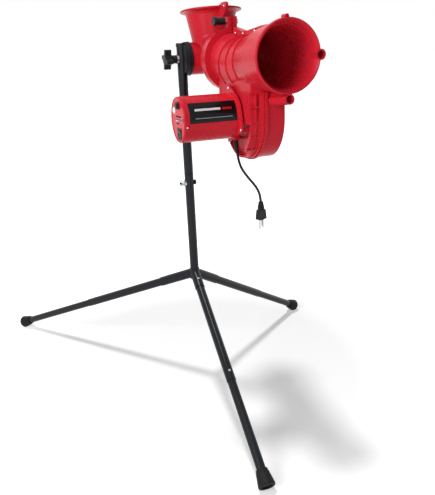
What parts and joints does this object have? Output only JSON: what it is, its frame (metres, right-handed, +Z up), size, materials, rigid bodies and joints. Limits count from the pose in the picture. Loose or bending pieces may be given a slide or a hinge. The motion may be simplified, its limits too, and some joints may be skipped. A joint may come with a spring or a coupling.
{
  "type": "ball pitching machine",
  "caption": "Single-wheel ball pitching machine with a funnel feeder, rotating barrel head, side motor and hanging mains cord on a folding three-legged stand.",
  "frame": {"origin": "on the floor under the middle of the machine's bounding box, measured without the hanging cord and plug", "axes": "+Z up, balls leave towards -Y, the motor is on the -X side"},
  "size_m": [1.0116, 1.17, 1.0745],
  "materials": {
    "red_shell": "satin moulded",
    "black_plastic": "satin moulded",
    "black_matte": "matt moulded",
    "black_paint": "gloss powder coat",
    "zinc": "bright zinc plate",
    "steel": "brushed",
    "aluminium": "die cast",
    "rubber": "matt",
    "tyre": "matt",
    "label": "printed film",
    "lamp": "clear",
    "board": "circuit board",
    "cord": "satin",
    "brass": "bright"
  },
  "bodies": {
    "stand": {"leg_hub": "black_paint", "lower_mast_tube": "black_paint", "upper_mast_tube": "black_paint", "mast_top_cap": "black_plastic", "mast_bolt": "steel", "saddle_washers": "zinc", "inner_clamp_disc": "black_plastic", "front_leg_upper_tube": "black_paint", "front_leg_lower_tube": "black_paint", "front_foot_cap": "rubber", "right_leg_upper_tube": "black_paint", "right_leg_lower_tube": "black_paint", "right_foot_cap": "rubber", "left_leg_upper_tube": "black_paint", "left_leg_lower_tube": "black_paint", "left_foot_cap": "rubber"},
    "feeder": {"feeder_left_shell": "red_shell", "feeder_right_shell": "red_shell", "feeder_screws": "zinc", "outer_clamp_disc": "black_plastic", "tilt_bolt": "steel", "collar_nut": "zinc"},
    "head": {"head_left_shell": "red_shell", "head_right_shell": "red_shell", "head_screws": "zinc", "muzzle_bell": "red_shell", "motor_housing": "red_shell", "motor_standoffs": "red_shell", "motor_screws": "zinc", "motor_end_cap": "red_shell", "label_plate": "label", "motor_can": "steel", "motor_end_bell": "aluminium", "motor_bearings": "steel", "speed_pot": "steel", "pilot_lamp": "lamp", "toggle_switch": "zinc", "toggle_nut": "zinc", "rocker_frame": "black_plastic", "control_board": "board", "strain_relief": "black_matte", "power_cord": "cord", "plug_body": "black_matte", "plug_blades": "brass"},
    "wheel": {"motor_rotor": "steel", "wheel_hub": "black_matte", "wheel_tyre": "tyre"},
    "tilt_knob": {"tilt_knob": "black_plastic"},
    "collar_knob": {"collar_knob": "black_plastic", "collar_bolt": "zinc"},
    "mast_wing_nut": {"mast_wing_nut": "zinc"},
    "speed_dial": {"speed_dial": "black_plastic"},
    "toggle_lever": {"toggle_lever": "zinc"},
    "rocker_button": {"rocker_button": "black_plastic"},
    "front_hub_button": {"front_hub_button": "zinc"},
    "front_leg_button": {"front_leg_button": "zinc"},
    "right_hub_button": {"right_hub_button": "zinc"},
    "right_leg_button": {"right_leg_button": "zinc"},
    "left_hub_button": {"left_hub_button": "zinc"},
    "left_leg_button": {"left_leg_button": "zinc"}
  },
  "joints": [
    {"name": "tilt", "type": "hinge", "parent": "stand", "child": "feeder", "pos_m": [0.0339, -0.00845, 0.943], "axis": [-1, 0, 0], "range_deg": [-20, 45]},
    {"name": "head_roll", "type": "hinge", "parent": "feeder", "child": "head", "pos_m": [0.11375, -0.12045, 0.937], "axis": [0, -1, 0], "range_deg": [-180, 180]},
    {"name": "wheel_spin", "type": "hinge", "parent": "head", "child": "wheel", "pos_m": [0.11375, -0.24145, 0.812], "axis": [1, 0, 0], "continuous": true},
    {"name": "tilt_knob_turn", "type": "hinge", "parent": "feeder", "child": "tilt_knob", "pos_m": [-0.02125, -0.00845, 0.943], "axis": [-1, 0, 0], "continuous": true},
    {"name": "collar_knob_turn", "type": "hinge", "parent": "feeder", "child": "collar_knob", "pos_m": [0.08375, -0.12345, 1.028], "axis": [-1, 0, 0], "continuous": true},
    {"name": "mast_wing_nut_turn", "type": "hinge", "parent": "stand", "child": "mast_wing_nut", "pos_m": [-0.00125, -0.00845, 0.609], "axis": [-1, 0, 0], "continuous": true},
    {"name": "speed_dial_turn", "type": "hinge", "parent": "head", "child": "speed_dial", "pos_m": [-0.07625, -0.24945, 0.845], "axis": [-1, 0, 0], "range_deg": [0, 270]},
    {"name": "toggle_throw", "type": "hinge", "parent": "head", "child": "toggle_lever", "pos_m": [-0.07275, -0.27745, 0.815], "axis": [0, 1, 0], "range_deg": [-12, 12]},
    {"name": "rocker_throw", "type": "hinge", "parent": "head", "child": "rocker_button", "pos_m": [-0.07175, -0.24895, 0.7805], "axis": [0, 1, 0], "range_deg": [0, 12]},
    {"name": "front_hub_button_press", "type": "slide", "parent": "stand", "child": "front_hub_button", "axis": [0.0316, 0.4881, -0.8722], "range_m": [0, 0.0035], "stiffness_N_per_m": 600, "springref_m": -0.002},
    {"name": "front_leg_button_press", "type": "slide", "parent": "stand", "child": "front_leg_button", "axis": [0.0316, 0.4881, -0.8722], "range_m": [0, 0.0035], "stiffness_N_per_m": 600, "springref_m": -0.002},
    {"name": "right_hub_button_press", "type": "slide", "parent": "stand", "child": "right_hub_button", "axis": [0.1949, -0.8811, -0.4309], "range_m": [0, 0.0035], "stiffness_N_per_m": 600, "springref_m": -0.002},
    {"name": "right_leg_button_press", "type": "slide", "parent": "stand", "child": "right_leg_button", "axis": [0.1949, -0.8811, -0.4309], "range_m": [0, 0.0035], "stiffness_N_per_m": 600, "springref_m": -0.002},
    {"name": "left_hub_button_press", "type": "slide", "parent": "stand", "child": "left_hub_button", "axis": [-0.353, -0.6695, -0.6535], "range_m": [0, 0.0035], "stiffness_N_per_m": 600, "springref_m": -0.002},
    {"name": "left_leg_button_press", "type": "slide", "parent": "stand", "child": "left_leg_button", "axis": [-0.353, -0.6695, -0.6535], "range_m": [0, 0.0035], "stiffness_N_per_m": 600, "springref_m": -0.002}
  ]
}
